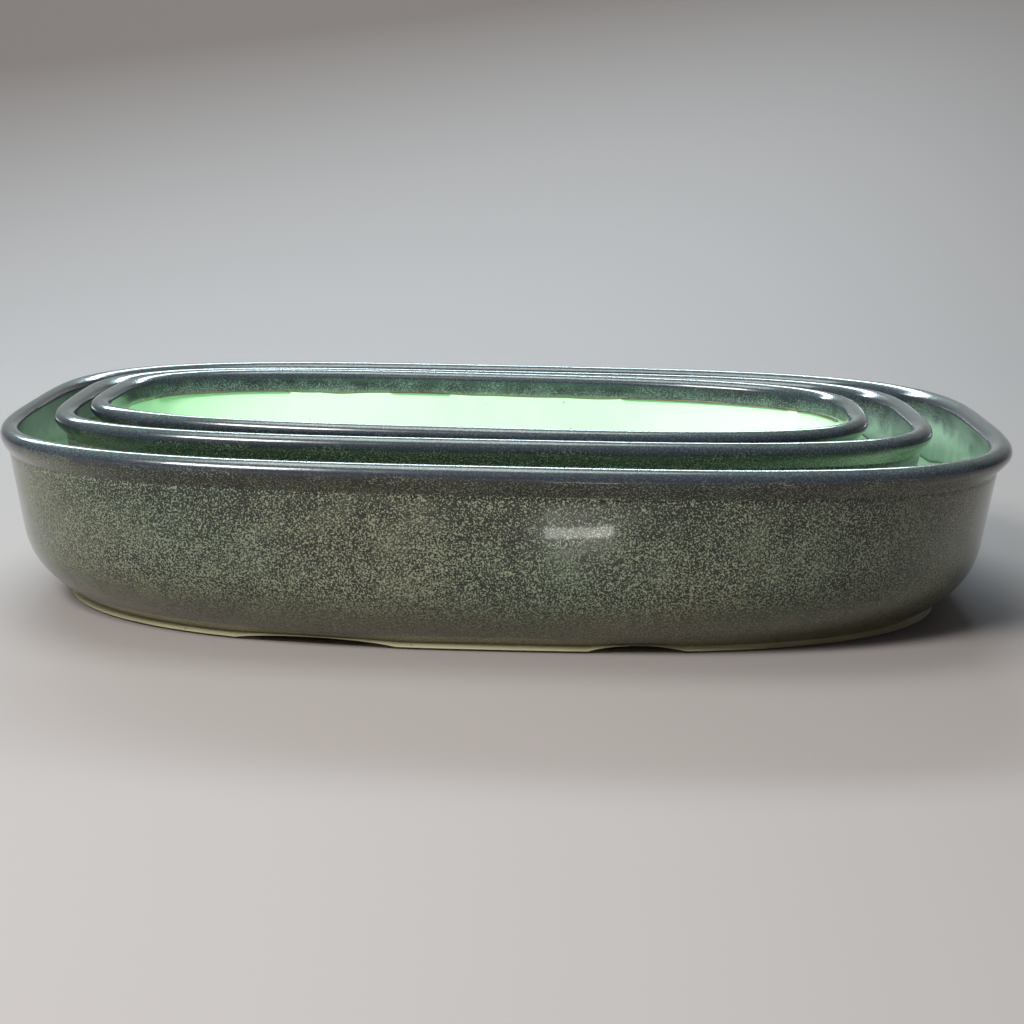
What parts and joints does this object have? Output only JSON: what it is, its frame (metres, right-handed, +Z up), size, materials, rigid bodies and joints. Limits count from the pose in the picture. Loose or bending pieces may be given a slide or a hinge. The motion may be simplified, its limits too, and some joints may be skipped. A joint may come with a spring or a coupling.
{
  "type": "bonsai pot",
  "caption": "Nest of three shallow oval glazed stoneware bonsai pots with rolled lips, scalloped foot rings and drain holes; the inner pots lift out.",
  "frame": {"origin": "on the ground under the middle of the large pot", "axes": "+X along the large pot, +Y across it towards the back, +Z up"},
  "size_m": [0.45, 0.34, 0.086],
  "materials": {
    "glaze": "glossy olive-grey glaze with fine dark crazing and a blue-black lip",
    "clay": "pale celadon-washed matt stoneware inside",
    "foot_clay": "bare buff stoneware"
  },
  "bodies": {
    "large_pot": {"large_floor_slab": "clay", "large_wall": "clay", "large_foot_ring": "foot_clay", "large_glaze_coat": "glaze"},
    "medium_pot": {"medium_floor_slab": "clay", "medium_wall": "clay", "medium_foot_ring": "foot_clay", "medium_glaze_coat": "glaze"},
    "small_pot": {"small_floor_slab": "clay", "small_wall": "clay", "small_foot_ring": "foot_clay", "small_glaze_coat": "glaze"}
  },
  "joints": [
    {"name": "medium_lift", "type": "slide", "parent": "large_pot", "child": "medium_pot", "axis": [0, 0, 1], "range_m": [0, 0.1]},
    {"name": "small_lift", "type": "slide", "parent": "medium_pot", "child": "small_pot", "axis": [0, 0, 1], "range_m": [0, 0.09]}
  ]
}
